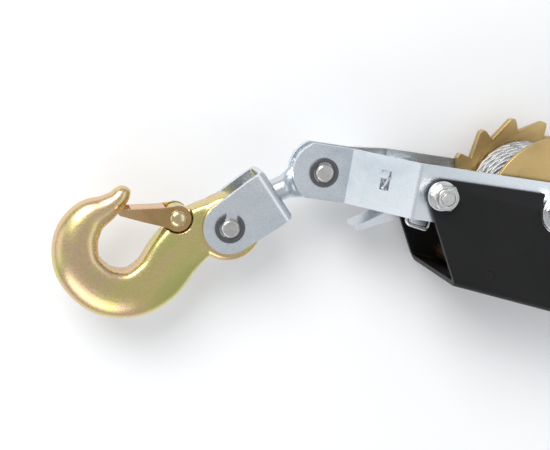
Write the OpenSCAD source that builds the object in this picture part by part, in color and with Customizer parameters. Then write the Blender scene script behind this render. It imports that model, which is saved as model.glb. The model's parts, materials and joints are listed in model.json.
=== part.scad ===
// Hand ratchet cable puller, about 2 ton, lying on its far side plate.
// +X runs along the frame from the anchor hook to the load hook, +Y is the open side of the lever
// channel, +Z is up. The drum axis is vertical and passes through the origin on the rest plane.

/* [Frame] */
// Thickness of the two side plates
plate_t = 3; // [2.5:0.5:3]
// Width of the side plates
plate_w = 30; // [28:1:32]
// Outside width over the two plates at the drum
plate_out = 66; // [66:1:66]
// Distance from the drum axis forward to the lever bolt
bolt_x = 71; // [71:1:71]
// Distance from the drum axis forward to the frame pin
pin_x = 128.7; // [126:0.1:130]
// Distance from the drum axis back to the tail bolt
tail_x = 63; // [58:1:64]

/* [Anchor end] */
// Angle of the eye stud to the frame, hanging to one side
stud_angle = 31.3; // [20:0.1:40]
// Angle of the clevis to the frame: it leans over in its loose hole on the stud
clevis_angle = 42.5; // [30:0.1:45]
// Distance from the frame pin to the middle of the clevis web
stud_reach = 29.3; // [29:0.1:32]
// Clear gap between the clevis legs
clevis_gap = 19; // [19:0.5:20]
// Diameter of the two cross pins
pin_d = 10; // [10:1:10]

/* [Drum] */
// Number of ratchet teeth
tooth_count = 14; // [14:1:14]
// Radius at the tooth tips
tip_r = 45; // [44:0.5:45]
// Radius at the tooth roots
root_r = 37.5; // [37:0.5:38]
// Wire rope diameter
rope_d = 6; // [6:0.5:6]
// Radius of the drum core
core_r = 16; // [15:1:16]
// Length of rope drawn out between the drum and its ferrule
lead_end_x = 86; // [84:1:100]

/* [Lever] */
// Sheet thickness of the lever channel
lever_t = 3; // [2.5:0.5:3]
// Overall reach of the grip from the drum axis
grip_end_x = 300; // [280:5:340]
// Length of the rubber grip
grip_len = 145; // [120:5:150]

/* [Hidden] */

fine = 96;
fit = 0.06;
bolt_gap = 0.1;

// Heights measured from the middle plane between the two side plates
plate_z = plate_out / 2;
inner_z = plate_z - plate_t;
lever_in = plate_z + 0.3;
lever_out = lever_in + lever_t;
m8_washer_t = 1.6;
m8_head_h = 5.3;
m8_nut_h = 8;
m12_washer_t = 2.7;
m12_head_h = 7.5;
m12_nut_h = 12;
mid_h = plate_z + m12_washer_t + m12_head_h;

// Main points in plan
frame_pin_at = [-pin_x, 0];
pivot_at = [-bolt_x, 0];
tail_at = [tail_x, 0];
web_in = 29;
web_t = 3;
web_mid = web_in + web_t / 2;
stud_len = stud_reach + web_mid;
stud_end = frame_pin_at - stud_len * [cos(stud_angle), sin(stud_angle)];
web_at = frame_pin_at - stud_reach * [cos(stud_angle), sin(stud_angle)];
clevis_at = web_at - web_mid * [cos(clevis_angle), sin(clevis_angle)];

// Side plate bends
neck_z = 7;
bend_one_x = -114.5;
splay = 40.5;
splay_len = (inner_z - neck_z + plate_t * cos(splay)) / sin(splay);
bend_two_x = bend_one_x + plate_t * sin(splay) + splay_len * cos(splay);
front_r = 17;
tail_end_x = tail_x + plate_w / 2;

// Drum
wheel_t = 5;
wheel_z = -24;
flange_z = 24;
flange_t = 3;
flange_r = 39.5;
hub_r = 12;
sleeve_r = 9;
layer_h = rope_d * 0.866;
wraps = 8;
top_layer_r = core_r + rope_d / 2 + 2 * layer_h;
coil_r = top_layer_r + rope_d / 2;
lead_z = 3;
lead_y = top_layer_r;
tooth_pitch = 360 / tooth_count;
steep_angle = 129;

// Hook outline: centre line x, y, half width in plan, half thickness
HOOK = [[-4, -1, 15, 8.4], [-15.5, -6.5, 14.3, 8.4], [-25, -19, 14.6, 8.8], [-32.5, -34, 14.4, 9.4],
    [-45, -44, 13.6, 9.8], [-61.5, -44, 13.3, 9.8], [-75, -33.5, 12.6, 9.4], [-78.5, -19, 12, 8.8],
    [-74, -7, 10.2, 7.8], [-65.5, 0, 7.3, 6.2], [-60, 5.5, 5.4, 5.4], [-58, 10, 4.2, 4.4],
    [-58, 12.7, 1.5, 1.6]];
hook_eye_r = 18.2;
hook_eye_at = [0.7, -1.1];
hook_eye_h = 8.4;
hook_edge = 2.5;
latch_at = [-27.5, 0.7];
latch_in = 6.8;
latch_t = 1.2;
seat_angle = 148.4;
load_eye_x = lead_end_x + 61.5;

// ---------- general shapes ----------

// Smooth curve through the rows of a list, k-th span at fraction t
function spline(p, k, t) = let (a = p[max(k - 1, 0)], b = p[k], c = p[k + 1],
    d = p[min(k + 2, len(p) - 1)])
    0.5 * (2 * b + (c - a) * t + (2 * a - 5 * b + 4 * c - d) * t * t
    + (3 * b - a - 3 * c + d) * t * t * t);
function smooth(p, steps) = [for (k = [0 : len(p) - 2], i = [0 : steps - 1]) spline(p, k, i / steps),
    p[len(p) - 1]];
function unit(v) = v / norm(v);
function heading(p, i) = unit(p[min(i + 1, len(p) - 1)] - p[max(i - 1, 0)]);

// Solid from a stack of rings with the same number of points. The rings of a bent sheet go out
// along one face and back along the other, so its ends are closed strip by strip.
module skin(rings, bent_sheet = false) {
    n = len(rings[0]);
    m = len(rings);
    points = [for (r = rings) each r];
    sides = [for (i = [0 : m - 2], j = [0 : n - 1])
        [i * n + j, (i + 1) * n + j, (i + 1) * n + (j + 1) % n, i * n + (j + 1) % n]];
    last = (m - 1) * n;
    ends = [[for (j = [0 : n - 1]) j], [for (j = [n - 1 : -1 : 0]) last + j]];
    strips = [for (j = [0 : n / 2 - 2]) each [[j, j + 1, n - 2 - j, n - 1 - j],
        [last + n - 1 - j, last + n - 2 - j, last + j + 1, last + j]]];
    polyhedron(points = points, faces = concat(sides, bent_sheet ? strips : ends), convexity = 6);
}

// Flat bar forging: rows are x, y, half width, half thickness
module forging(rows, steps, n) {
    p = smooth(rows, steps);
    skin([for (i = [0 : len(p) - 1])
        let (h = heading([for (q = p) [q[0], q[1]]], i), side = [-h[1], h[0]])
        [for (j = [0 : n - 1]) let (a = 360 * j / n)
            [p[i][0] + side[0] * p[i][2] * cos(a), p[i][1] + side[1] * p[i][2] * cos(a),
            p[i][3] * sin(a)]]]);
}

// Round wire along 3-D points
module wire(points, d, n = 8) {
    up = [0.03, 0.02, 1];
    skin([for (i = [0 : len(points) - 1])
        let (h = heading(points, i), s = unit(cross(up, h)), t = cross(h, s))
        [for (j = [0 : n - 1]) points[i] + d / 2 * (s * cos(360 * j / n) + t * sin(360 * j / n))]]);
}

module at(p, angle = 0) {
    translate([p[0], p[1], mid_h]) rotate([0, 0, angle]) children();
}

module tube(r_out, r_in, z0, z1) {
    translate([0, 0, z0]) difference() {
        cylinder(h = z1 - z0, r = r_out, $fn = fine);
        translate([0, 0, -1]) cylinder(h = z1 - z0 + 2, r = r_in, $fn = fine);
    }
}

module disc(r, z0, z1) {
    translate([0, 0, z0]) cylinder(h = z1 - z0, r = r, $fn = fine);
}

// Hexagon with its corners turned down by a chamfer cone
module hex(across, z0, z1) {
    corner = across / sqrt(3);
    intersection() {
        translate([0, 0, z0]) cylinder(h = z1 - z0, r = corner, $fn = 6);
        translate([0, 0, z0 - 0.01]) rotate_extrude($fn = fine)
            polygon([[0, 0], [across / 2 * 0.97, 0], [corner + 0.1, 1.1], [corner + 0.1, z1 - z0 - 1.1],
                [across / 2 * 0.97, z1 - z0 + 0.02], [0, z1 - z0 + 0.02]]);
    }
}

module hex_bolt(d, across, head_h, under_z, end_z) {
    hex(across, under_z - head_h, under_z);
    translate([0, 0, under_z - 0.1]) rotate_extrude($fn = fine)
        polygon([[0, 0], [d / 2, 0], [d / 2, end_z - under_z - 0.9], [d / 2 - 0.9, end_z - under_z + 0.1],
            [0, end_z - under_z + 0.1]]);
}

// Lock nut: hexagon with a round collar over the nylon ring
module lock_nut(d, across, h, z0) {
    difference() {
        union() {
            hex(across, z0, z0 + h * 0.86);
            disc(d / 2 + across * 0.09, z0 + h * 0.8, z0 + h);
        }
        disc(d / 2 + 0.02, z0 - 1, z0 + h + 1);
    }
}

// Chamfered cross pin with a groove near each end
module cross_pin(half_len, groove_z, groove_w) {
    r = pin_d / 2;
    translate([0, 0, -half_len]) rotate_extrude($fn = fine) {
        polygon([[0, 0], [r - 1, 0], [r, 0.8], [r, half_len - groove_z - groove_w],
            [r - 0.8, half_len - groove_z - groove_w], [r - 0.8, half_len - groove_z],
            [r, half_len - groove_z], [r, half_len + groove_z], [r - 0.8, half_len + groove_z],
            [r - 0.8, half_len + groove_z + groove_w], [r, half_len + groove_z + groove_w],
            [r, 2 * half_len - 0.8], [r - 1, 2 * half_len], [0, 2 * half_len]]);
    }
}

// Spring clip that grips a pin with three lugs: open towards +Y as an E, or a closed push-on ring
module e_clip(r_out, z0, t, open = true) {
    r = pin_d / 2;
    mouth = r * 1.25;
    translate([0, 0, z0]) linear_extrude(t) difference() {
        circle(r = r_out, $fn = fine);
        difference() {
            circle(r = r + 0.75, $fn = fine);
            for (a = [90, 210, 330]) rotate(a + 180) translate([r - 0.78, -1.5]) square([2, 3]);
        }
        if (open) translate([-mouth / 2, 0]) square([mouth, r_out + 1]);
    }
}

// ---------- frame ----------

module plate_path() {
    difference() {
        union() {
            translate([-pin_x - front_r - 1, neck_z - plate_t])
                square([bend_one_x + pin_x + front_r + 1, plate_t]);
            translate([bend_one_x, neck_z]) circle(r = plate_t, $fn = fine);
        }
        translate([bend_one_x - 9, neck_z]) square([9, plate_t + 1]);
        translate([bend_one_x, neck_z]) rotate(splay) square([9, plate_t + 1]);
        translate([bend_one_x - 1, neck_z]) square([9, plate_t + 1]);
    }
    translate([bend_one_x, neck_z]) rotate(splay) translate([0, -plate_t]) square([splay_len, plate_t]);
    intersection() {
        translate([bend_two_x, inner_z]) circle(r = plate_t, $fn = fine);
        translate([bend_two_x - plate_t, inner_z]) square([plate_t + 1, plate_t]);
    }
    translate([bend_two_x, inner_z]) square([tail_end_x - bend_two_x + 1, plate_t]);
}

module plate_outline() {
    intersection() {
        translate([-pin_x - 20, -plate_w / 2]) square([pin_x + 20 + tail_end_x, plate_w]);
        union() {
            translate(frame_pin_at) circle(r = front_r, $fn = fine);
            translate([-pin_x, -plate_w / 2]) square([pin_x + tail_x, plate_w]);
            translate(tail_at) circle(r = plate_w / 2, $fn = fine);
        }
    }
}

// Lanced window whose tongue, left on along the top, guards the hooked end of the pawl spring
window_at = 21.3;
window_w = 5.2;
window_low = -3.2;
window_high = 7.4;

module on_splay() {
    translate([bend_one_x, 0, neck_z]) rotate([0, -splay, 0]) children();
}

module lance_window() {
    on_splay() translate([window_at - window_w / 2, window_low, -plate_t - 1])
        cube([window_w, window_high - window_low, plate_t + 2]);
}

module lance_tongue() {
    on_splay() translate([window_at - window_w / 2 + 0.4, window_high + 0.4, -plate_t + 0.4])
        rotate([-40, 0, 0]) translate([0, -6.5, 0]) cube([window_w - 0.8, 6.5, 1.6]);
}

module side_plate() {
    difference() {
        intersection() {
            translate([0, plate_w / 2 + 1, 0]) rotate([90, 0, 0]) linear_extrude(plate_w + 2) plate_path();
            linear_extrude(plate_z + 1) plate_outline();
        }
        translate([-pin_x, 0, 0]) cylinder(h = 20, r = pin_d / 2 + fit, $fn = fine);
        translate([-bolt_x, 0, inner_z - 1]) cylinder(h = 9, r = 4 + bolt_gap, $fn = fine);
        translate([0, 0, inner_z - 1]) cylinder(h = 9, r = 6 + bolt_gap, $fn = fine);
        translate([tail_x, 0, inner_z - 1]) cylinder(h = 9, r = 4 + bolt_gap, $fn = fine);
        lance_window();
    }
    lance_tongue();
}

module side_plate_near() {
    color("#c3c9cd") at([0, 0]) side_plate();
}

module side_plate_far() {
    color("#c3c9cd") at([0, 0]) mirror([0, 0, 1]) side_plate();
}

module frame_pin() {
    color("#d2d0cc") at(frame_pin_at) cross_pin(9.8, neck_z + 0.1, 1.2);
}

module frame_pin_clips() {
    color("#26282a") at(frame_pin_at) for (m = [0, 1]) mirror([0, 0, m])
        e_clip(8, neck_z + 0.15, 1.1, open = false);
}

module pivot_bolt() {
    color("#cfccc2") at(pivot_at) hex_bolt(8, 13, m8_head_h, -lever_out - m8_washer_t, lever_out + 11.2);
}

module pivot_nut() {
    color("#cfccc2") at(pivot_at) lock_nut(8, 13, m8_nut_h, lever_out + m8_washer_t);
}

module pivot_washers() {
    color("#cdd0d2") at(pivot_at) for (m = [0, 1]) mirror([0, 0, m])
        tube(8, 4 + bolt_gap, lever_out + 0.02, lever_out + m8_washer_t);
}

module pivot_spacer() {
    color("#b9bdc0") at(pivot_at) tube(6, 4 + bolt_gap, -inner_z, inner_z);
}

module axle_bolt() {
    color("#cfccc2") at([0, 0]) hex_bolt(12, 18, m12_head_h, -plate_z - m12_washer_t, plate_z + 16.6);
}

module axle_nut() {
    color("#cfccc2") at([0, 0]) lock_nut(12, 18, m12_nut_h, plate_z + m12_washer_t);
}

module axle_washers() {
    color("#cdd0d2") at([0, 0]) for (m = [0, 1]) mirror([0, 0, m])
        tube(11.5, 6 + bolt_gap, plate_z, plate_z + m12_washer_t);
}

module axle_sleeve() {
    color("#a9895a") at([0, 0]) tube(sleeve_r, 6 + bolt_gap, -inner_z, inner_z);
}

module tail_bolt() {
    color("#cfccc2") at(tail_at) hex_bolt(8, 13, m8_head_h, -plate_z - m8_washer_t, plate_z + 11.2);
}

module tail_nut() {
    color("#cfccc2") at(tail_at) lock_nut(8, 13, m8_nut_h, plate_z + m8_washer_t);
}

module tail_washers() {
    color("#cdd0d2") at(tail_at) for (m = [0, 1]) mirror([0, 0, m])
        tube(8, 4 + bolt_gap, plate_z, plate_z + m8_washer_t);
}

module tail_spacer() {
    color("#b9bdc0") at(tail_at) tube(7, 4 + bolt_gap, -inner_z, inner_z);
}

// ---------- pawls ----------

pawl_z0 = wheel_z - wheel_t + 0.4;
pawl_z1 = wheel_z - 0.4;
holding_open = 12.5;
drive_open = 15.5;
drive_at = [-35, -40];

// Point on the wheel plane by radius and angle
function polar(r, a) = [r * cos(a), r * sin(a)];

// Radius of the tooth flank below the steep face at angle a, at lag degrees behind that face
function flank_r(lag) = root_r + 0.6 + (lag - 4.1) / 17.2 * (tip_r - root_r - 0.6);

// Arm and nose that lie in the gullet behind the steep face at angle a, drawn in mesh. The nose
// stays lag degrees behind the face, which is the room it needs to swing past the tooth's tip.
module pawl_nose(pivot, hub, a, lag, heel_r) {
    tip = polar(flank_r(max(lag + 1.2, 4.1)) + 0.8, a - lag - 1.2);
    heel = polar(heel_r, a - lag);
    chin = polar(flank_r(lag + 4.3) + 0.9, a - lag - 4.3);
    brow = polar(tip_r + 1.2, a - 21.3);
    arm = unit(tip - pivot);
    side = 0.92 * hub * [-arm[1], arm[0]];
    polygon([pivot + side, brow, chin, tip, heel, pivot - side]);
}

module holding_pawl() {
    hub = 9;
    color("#bfc5c8") at([0, 0]) difference() {
        union() {
            translate(pivot_at) rotate(-holding_open) translate(-pivot_at)
                translate([0, 0, pawl_z0]) linear_extrude(pawl_z1 - pawl_z0)
                pawl_nose(pivot_at, hub, steep_angle + 3 * tooth_pitch, 5.6, 44.7);
            translate([-bolt_x, 0, -inner_z + 0.4]) cylinder(h = 20.7 + inner_z - 0.4, r = hub, $fn = fine);
            translate([-bolt_x, 0, -inner_z + 0.4]) cylinder(h = 5, r = 12.4, $fn = fine);
            pawl_lug();
            release_arm();
        }
        translate([-bolt_x, 0, -inner_z]) cylinder(h = 60, r = 6 + fit, $fn = fine);
    }
}

// Lug that the spring loop passes round
module pawl_lug() {
    translate([0, 0, 17.2]) linear_extrude(3) polygon([[-78.8, -2], [-79.6, -18.4], [-78.6, -19],
        [-71.6, -20], [-70.6, -19.4], [-69.5, -6]]);
}

// Release lever: a pressed angle that runs down and forward from the hub
module release_arm() {
    tip = [-106.3, -26.6];
    root = [-74.3, -6.1];
    along = unit(tip - root);
    down = [-along[1], along[0]];
    half_w = 9;
    sheet = 2.6;
    translate([0, 0, -half_w]) linear_extrude(2 * half_w) polygon([root, tip, tip + sheet * down,
        root + sheet * down]);
    translate([0, 0, half_w - sheet]) linear_extrude(sheet) polygon([root + 0.3 * down,
        tip + 0.3 * down, tip + 3 * down, [-88, -15] + 5.8 * down, [-72.5, -8.6]]);
}

module holding_pawl_spring() {
    turns = 3;
    d = 1.8;
    r = 10.5;
    coil = [for (i = [0 : 12 * turns + 2]) let (a = 105 + 30 * i)
        [-bolt_x + r * cos(a), r * sin(a), 10.6 + (d + 0.15) * i / 12]];
    hook_end = [[-99.9, -2, 22.7], [-98.7, -1.6, 20.7], [-97.1, -1, 17.9], [-93.6, 2, 13.9], [-84, 8.4, 11]];
    loop_end = [[-81.6, -6, 17.4], [-81.6, -11, 18.6], [-81.6, -16.8, 18.7], [-81.2, -18.6, 18.7],
        [-79.6, -20, 18.7], [-75, -20.9, 18.7], [-70.4, -21.6, 18.7], [-68.8, -21, 18.7],
        [-68.2, -19.4, 18.7], [-67.6, -12.5, 18.7]];
    color("#b9bcbd") at([0, 0]) wire(concat(hook_end, coil, loop_end), d);
}

module drive_pawl() {
    hub = 6;
    color("#b9b2a2") at([0, 0]) difference() {
        union() {
            translate(drive_at) rotate(-drive_open) translate(-drive_at)
                translate([0, 0, pawl_z0]) linear_extrude(pawl_z1 - pawl_z0)
                pawl_nose(drive_at, hub, steep_angle + 5 * tooth_pitch, 2.4, 42.8);
            translate([drive_at[0], drive_at[1], -lever_in + 0.3]) cylinder(h = 17, r = hub, $fn = fine);
        }
        translate([drive_at[0], drive_at[1], -40]) cylinder(h = 60, r = 3 + fit, $fn = fine);
    }
}

module drive_pawl_pin() {
    color("#1b1c1d") at(drive_at) {
        disc(3, -lever_out - 0.2, lever_out - 0.05);
        disc(4.6, -lever_out - 1, -lever_out);
    }
}

module drive_pawl_spring() {
    turns = 3;
    d = 1.4;
    r = 4.6;
    coil = [for (i = [0 : 12 * turns]) let (a = -90 + 30 * i)
        [drive_at[0] + r * cos(a), drive_at[1] + r * sin(a), -14.6 + (d + 0.15) * i / 12]];
    lower = [[drive_at[0] + 16, drive_at[1] - 7.6, -15], [drive_at[0] + 8, drive_at[1] - 5.8, -14.8]];
    upper = [[drive_at[0] + 9, drive_at[1] - 5, -9.8], [drive_at[0] + 18, drive_at[1] - 8, -9.8]];
    color("#a5a8a9") at([0, 0]) wire(concat(lower, coil, upper), d);
}

// ---------- anchor end ----------

leg_out = clevis_gap / 2 + web_t;
stud_r = 6.5;
stud_from = 19.8;
lean = clevis_angle - stud_angle;
lean_room = 1.5;
web_hole_r = stud_r / cos(lean) + web_t / 2 * tan(lean) + fit;

module eye_stud() {
    eye_r = 14;
    eye_h = 3.8;
    neck_at = stud_len - 23.5;
    neck = [[neck_at, 0, 7, 7], [stud_len - 21.2, 0, 7.3, 5.8], [stud_len - 18, 0, 8.3, 3.7],
        [stud_len - 13.5, 0, 9.8, 3.6], [stud_len - 9.5, 0, 10.2, 3.6]];
    color("#c9ccce") at(stud_end, stud_angle) difference() {
        union() {
            forging(neck, 3, 24);
            translate([stud_len, 0, -eye_h]) cylinder(h = 2 * eye_h, r = eye_r, $fn = fine);
            translate([stud_from, 0, 0]) rotate([0, 90, 0])
                cylinder(h = neck_at + 0.6 - stud_from, r = stud_r, $fn = fine);
        }
        translate([stud_len, 0, -20]) cylinder(h = 40, r = pin_d / 2 + fit, $fn = fine);
    }
}

module stud_washer() {
    color("#cdd0d2") at(stud_end, stud_angle) translate([web_in - lean_room, 0, 0]) rotate([0, 90, 0])
        tube(7.9, stud_r + 0.01, -1.6, -0.1);
}

module stud_nut() {
    color("#cfccc2") at(stud_end, stud_angle) translate([web_in - lean_room, 0, 0]) rotate([0, 90, 0])
        difference() {
        hex(15.8, -6.6, -1.62);
        disc(stud_r + 0.01, -9, 1);
    }
}

module clevis_profile() {
    corner = 5;
    difference() {
        union() {
            translate([-20, -leg_out]) square([20 + web_in + web_t - corner, 2 * leg_out]);
            translate([0, -leg_out + corner]) square([web_in + web_t, 2 * leg_out - 2 * corner]);
            for (s = [-1, 1]) translate([web_in + web_t - corner, s * (leg_out - corner)])
                circle(r = corner, $fn = fine);
        }
        translate([-21, -clevis_gap / 2]) square([21 + web_in - 2, clevis_gap]);
        translate([0, -clevis_gap / 2 + 2]) square([web_in, clevis_gap - 4]);
        for (s = [-1, 1]) translate([web_in - 2, s * (clevis_gap / 2 - 2)]) circle(r = 2, $fn = fine);
    }
}

module clevis_outline() {
    half = 15.2;
    circle(r = 14.2, $fn = fine);
    polygon([[0, -14.2], [web_in - 6, -half], [web_in + web_t - 1.5, -half], [web_in + web_t, 1.5 - half],
        [web_in + web_t, half - 1.5], [web_in + web_t - 1.5, half], [web_in - 6, half], [0, 14.2]]);
}

module clevis() {
    color("#c9ced1") at(clevis_at, clevis_angle) difference() {
        intersection() {
            translate([0, 20, 0]) rotate([90, 0, 0]) linear_extrude(40) clevis_profile();
            translate([0, 0, -20]) linear_extrude(40) clevis_outline();
        }
        translate([0, 0, -20]) cylinder(h = 40, r = pin_d / 2 + bolt_gap, $fn = fine);
        translate([web_in - 3, 0, 0]) rotate([0, 90, 0]) cylinder(h = 9, r = web_hole_r, $fn = fine);
    }
}

module clevis_pin() {
    color("#c4c0b8") at(clevis_at) cross_pin(leg_out + 2.8, leg_out + 0.1, 1.2);
}

module clevis_pin_clips() {
    color("#26282a") at(clevis_at) for (m = [0, 1]) mirror([0, 0, m]) e_clip(8.1, leg_out + 0.15, 1.1);
}

// ---------- hook and latch, drawn about the centre of the hook eye ----------

module hook_body(hole_r) {
    difference() {
        union() {
            forging(HOOK, 4, 20);
            translate([hook_eye_at[0], hook_eye_at[1], -hook_eye_h]) rotate_extrude($fn = fine) difference() {
                translate([0, 0]) square([hook_eye_r, 2 * hook_eye_h]);
                for (s = [0, 1]) translate([hook_eye_r, s * 2 * hook_eye_h]) circle(r = hook_edge, $fn = 4);
            }
            translate([latch_at[0], latch_at[1], -4.6]) cylinder(h = 9.2, r = 6.6, $fn = fine);
        }
        translate([0, 0, -20]) cylinder(h = 40, r = hole_r, $fn = fine);
        translate([latch_at[0], latch_at[1], -20]) cylinder(h = 40, r = 2.5 + fit, $fn = fine);
        for (s = [0, 1]) mirror([0, 0, s]) translate([latch_at[0], latch_at[1], 4.7])
            cylinder(h = 9, r = 8.2, $fn = fine);
    }
}

module latch_cheek() {
    difference() {
        union() {
            translate(latch_at) circle(r = 7, $fn = fine);
            polygon([[-31, 6.7], [-38, 4.9], [-58, 1.2], [-59.2, -0.4], [-58.6, -1.9], [-45, -3.6],
                [-34, -4.7], [-30, -5.7]]);
        }
        translate(latch_at) circle(r = 2.5 + fit, $fn = fine);
    }
}

module latch_body() {
    for (s = [0, 1]) mirror([0, 0, s]) translate([0, 0, latch_in]) linear_extrude(latch_t) latch_cheek();
    translate([0, 0, -latch_in - 0.1]) linear_extrude(2 * latch_in + 0.2)
        polygon([[-36, 5.4], [-38, 4.9], [-53, 2.15], [-53, 0.95], [-38, 3.7], [-36, 4.2]]);
}

module rivet_body() {
    head_z = latch_in + latch_t + 0.05;
    translate([latch_at[0], latch_at[1], 0]) {
        disc(2.5, -head_z, head_z);
        for (s = [0, 1]) mirror([0, 0, s]) translate([0, 0, head_z]) intersection() {
            translate([0, 0, -3]) sphere(r = 5.4, $fn = fine);
            cylinder(h = 4, r = 6, $fn = fine);
        }
    }
}

module latch_spring_body() {
    d = 0.9;
    r = 3.4;
    coil = [for (i = [0 : 10]) let (a = 150 - 30 * i)
        [latch_at[0] + r * cos(a), latch_at[1] + r * sin(a), 5.2 + i / 10]];
    arm = [[-46, 1.2, 5.3], [-40, 2, 5.2], [-33, 3, 5.2]];
    foot = [[-33, -3, 6.2], [-35.6, -6.2, 6.2]];
    wire(concat(arm, coil, foot), d);
}

module load_side() {
    translate([load_eye_x, lead_y, mid_h + lead_z]) rotate([0, 0, -seat_angle]) mirror([0, 1, 0])
        children();
}

module anchor_hook() {
    color("#c9b45a") at(clevis_at) hook_body(pin_d / 2 + fit);
}

module anchor_latch() {
    color("#b58a45") at(clevis_at) latch_body();
}

module anchor_latch_rivet() {
    color("#c79a5c") at(clevis_at) rivet_body();
}

module anchor_latch_spring() {
    color("#a9a9a6") at(clevis_at) latch_spring_body();
}

module load_hook() {
    color("#c9b45a") load_side() hook_body(10);
}

module load_latch() {
    color("#b58a45") load_side() latch_body();
}

module load_latch_rivet() {
    color("#c79a5c") load_side() rivet_body();
}

module load_latch_spring() {
    color("#a9a9a6") load_side() latch_spring_body();
}

// ---------- drum and rope ----------

module drum_core() {
    color("#b9b06a") at([0, 0]) difference() {
        union() {
            disc(core_r, wheel_z, flange_z);
            disc(hub_r, -inner_z + 0.4, inner_z - 0.4);
        }
        disc(sleeve_r + fit, -40, 40);
        rotate([0, 0, 200]) translate([0, 0, 14]) rotate([0, 90, 0])
            cylinder(h = core_r + 5, r = 3 + 0.02, $fn = fine);
    }
}

module rope_set_screw() {
    color("#8d8f90") at([0, 0]) rotate([0, 0, 200]) translate([sleeve_r + 0.6, 0, 14]) rotate([0, 90, 0])
        cylinder(h = core_r - sleeve_r - 1, r = 3, $fn = fine);
}

// One tooth: steep face, short flat land, long straight flank
function tooth(a) = [polar(root_r, a - 1.6), polar(tip_r - 2, a - 0.4), polar(tip_r, a + 0.8),
    polar(tip_r, a + 4.4), polar(root_r + 0.6, a + 21.6)];

module ratchet_wheel() {
    color("#a98f4a") at([0, 0]) difference() {
        translate([0, 0, wheel_z - wheel_t]) linear_extrude(wheel_t)
            polygon([for (k = [0 : tooth_count - 1]) each tooth(steep_angle + k * tooth_pitch)]);
        disc(hub_r, -40, 40);
    }
}

module drum_flange() {
    color("#a98f4a") at([0, 0]) tube(flange_r, hub_r, flange_z, flange_z + flange_t);
}

// The wound rope: the top layer reaches back as far as the wrap that leaves the drum
module rope_coil() {
    low_r = coil_r - layer_h;
    gap = 0.2;
    color("#b4b8ba") at([0, 0]) rotate_extrude($fn = fine)
        polygon([[core_r, wheel_z + gap], [coil_r, wheel_z + gap], [coil_r, lead_z + rope_d / 2],
            [low_r, lead_z + rope_d / 2 + 1], [low_r, flange_z - gap], [core_r, flange_z - gap]]);
}

module rope_lead() {
    start = sqrt(coil_r * coil_r - pow(lead_y - rope_d / 2, 2)) + 0.6;
    color("#b4b8ba") translate([start, lead_y, mid_h + lead_z]) rotate([0, 90, 0])
        cylinder(h = lead_end_x - start, r = rope_d / 2, $fn = fine);
}

ferrule_len = 20;

module load_line() {
    translate([lead_end_x, lead_y, mid_h + lead_z]) children();
}

// Swaged sleeve, oval over the two parts of the rope
module rope_ferrule() {
    color("#aeb3b6") load_line() rotate([0, 90, 0]) intersection() {
        linear_extrude(ferrule_len) {
            for (s = [-1, 1]) translate([s * 3.3, 0]) circle(r = 5, $fn = fine);
            translate([-3.3, -5]) square([6.6, 10]);
        }
        rotate_extrude($fn = fine) polygon([[0, 0], [7.1, 0], [9, 1.8], [9, ferrule_len - 1.8],
            [7.1, ferrule_len], [0, ferrule_len]]);
    }
}

loop_r = 15;
loop_x = 46;

module rope_eye() {
    neck = [[ferrule_len, 3.2], [ferrule_len + 4, 4], [ferrule_len + 11, 8.6], [ferrule_len + 18, 12.8],
        [loop_x - 3, 14.7], [loop_x, 15]];
    leg = smooth(neck, 3);
    arc = [for (a = [80 : -10 : -80]) [loop_x + loop_r * cos(a), loop_r * sin(a)]];
    back = [for (i = [len(leg) - 1 : -1 : 0]) [leg[i][0], -leg[i][1]]];
    color("#b4b8ba") load_line() rotate([90, 0, 0])
        wire([for (p = concat(leg, arc, back)) [p[0], p[1], 0]], rope_d, 12);
}

module rope_thimble() {
    inner = loop_r - rope_d / 2 - 1.4;
    outer = loop_r - rope_d / 2 - 0.1;
    color("#c2c6c8") load_line() rotate([90, 0, 0]) translate([loop_x, 0, 0]) rotate([0, 0, -118])
        rotate_extrude(angle = 236, $fn = fine) polygon([[inner, -3.6], [outer + 0.8, -3.6],
            [outer + 0.8, -3.1], [outer, -2.6], [outer, 2.6], [outer + 0.8, 3.1], [outer + 0.8, 3.6],
            [inner, 3.6]]);
}

// ---------- lever ----------

head_r = 8.4;
head_shift = [0.9, 0.4];
web_slope = 7.4;
web_front = [-53.8, -48.4];
belly_x = 46;
neck_x = 112;
neck_top = -18;
neck_bottom = -48;
neck_half = 16.5;
channel_end_x = grip_end_x - 14;
notch_r = 12.6;

module lever_outline() {
    rake = 61.4;
    head = pivot_at + head_shift;
    tangent = head + head_r * [-sin(rake), -cos(rake)];
    rake_end = tangent + 80 * [cos(rake), -sin(rake)];
    difference() {
        union() {
            translate(head) circle(r = head_r, $fn = fine);
            polygon([head + [0, head_r], tangent, rake_end, [channel_end_x + 1, rake_end[1]],
                [channel_end_x + 1, neck_top], [belly_x, neck_top], [22, head[1] + head_r]]);
        }
        circle(r = notch_r, $fn = fine);
        translate([-notch_r, 0]) square([2 * notch_r, 30]);
    }
}

// Channel section at x, open towards +Y: half width and underside
function channel_ring(x, half, bottom) = let (corner = 5, top = 12, steps = 6, inset = corner - lever_t,
    outer = [for (i = [0 : steps]) let (a = 90 + 90 * i / steps)
        [x, bottom + corner + corner * cos(a), half - corner + corner * sin(a)]],
    inner = [for (i = [steps : -1 : 0]) let (a = 90 + 90 * i / steps)
        [x, bottom + corner + inset * cos(a), half - corner + inset * sin(a)]],
    flip = function (p) [for (i = [len(p) - 1 : -1 : 0]) [p[i][0], p[i][1], -p[i][2]]])
    concat([[x, top, half]], outer, flip(outer), [[x, top, -half], [x, top, -half + lever_t]],
    flip(inner), inner, [[x, top, half - lever_t]]);

function web_y(x) = web_front[1] - (x - web_front[0]) * tan(web_slope);

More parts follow.
